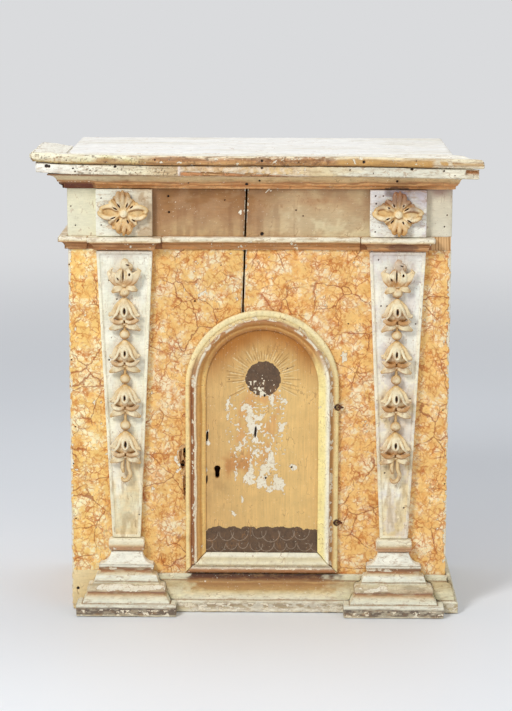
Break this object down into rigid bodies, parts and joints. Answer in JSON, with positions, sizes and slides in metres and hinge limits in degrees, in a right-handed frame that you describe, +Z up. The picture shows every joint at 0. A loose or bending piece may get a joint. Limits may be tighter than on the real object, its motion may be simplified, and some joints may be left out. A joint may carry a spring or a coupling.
{
  "type": "altar tabernacle",
  "caption": "Painted wooden altar tabernacle: a deep cupboard with a cornice, tapering pilasters and a round-headed, locked door.",
  "frame": {"origin": "on the floor, under the middle of the object's box", "axes": "+Z up, the front with the door faces -Y, +X to the right of someone facing the door"},
  "size_m": [0.706, 0.324, 0.735],
  "materials": {
    "marble_paint": "pine painted with yellow and orange veined imitation marble, worn and flyspecked",
    "cream_paint": "cream distemper over gesso, grimy, chipped at the edges",
    "grey_white_paint": "blue-white distemper over gesso, grimy",
    "ochre_gold": "ochre glaze over cream paint, brushed, worn to gesso and wood at the edges",
    "carved_gold": "carved wood, cream with an ochre glaze, grimy in the hollows",
    "bare_pine": "aged bare pine, dusty, with worm holes",
    "rusty_iron": "forged iron, rusty",
    "spring_steel": "old spring steel, dull"
  },
  "bodies": {
    "carcass": {"front_plank_left": "marble_paint", "front_plank_right": "marble_paint", "side_board_left": "bare_pine", "side_board_right": "bare_pine", "back_plank_left": "bare_pine", "back_plank_right": "bare_pine", "deck_board": "cream_paint", "floor_board": "bare_pine", "floor_cleat_left": "bare_pine", "floor_cleat_right": "bare_pine", "cornice_crown_front": "ochre_gold", "cornice_crown_left": "ochre_gold", "cornice_corona_front": "cream_paint", "cornice_corona_left": "cream_paint", "cornice_bed_front": "ochre_gold", "cornice_bed_left": "ochre_gold", "architrave_center": "cream_paint", "architrave_bay_left": "cream_paint", "architrave_side_left": "cream_paint", "architrave_cap_left": "cream_paint", "architrave_cap_right": "cream_paint", "base_moulding_center": "cream_paint", "base_moulding_bay_right": "cream_paint", "base_moulding_side_right": "cream_paint", "frieze_block_left": "grey_white_paint", "frieze_block_right": "grey_white_paint", "rosette_left": "carved_gold", "rosette_right": "carved_gold", "pilaster_left": "grey_white_paint", "pilaster_right": "grey_white_paint", "husk_left_1": "carved_gold", "husk_left_2": "carved_gold", "husk_left_3": "carved_gold", "husk_left_4": "carved_gold", "husk_left_5": "carved_gold", "husk_right_1": "carved_gold", "husk_right_2": "carved_gold", "husk_right_3": "carved_gold", "husk_right_4": "carved_gold", "husk_right_5": "carved_gold", "pilaster_collar_left": "cream_paint", "pilaster_collar_right": "cream_paint", "pedestal_left": "cream_paint", "pedestal_right": "cream_paint", "hinge_staple_upper": "rusty_iron", "hinge_staple_lower": "rusty_iron"},
    "door": {"door_board": "ochre_gold", "door_arch_moulding": "ochre_gold", "door_stile_left": "ochre_gold", "door_stile_right": "ochre_gold", "door_rail_bottom": "ochre_gold", "hinge_eye_upper": "rusty_iron", "hinge_eye_lower": "rusty_iron", "lock_case": "rusty_iron", "lock_cap": "rusty_iron", "lock_key_post": "rusty_iron", "lock_spring": "spring_steel"},
    "bolt": {"lock_bolt": "rusty_iron"}
  },
  "joints": [
    {"name": "door_hinge", "type": "hinge", "parent": "carcass", "child": "door", "pos_m": [0.136, -0.122, 0.241], "axis": [0, 0, 1], "range_deg": [0, 115]},
    {"name": "bolt_slide", "type": "slide", "parent": "door", "child": "bolt", "axis": [-1, 0, 0], "range_m": [0, 0.011]}
  ]
}
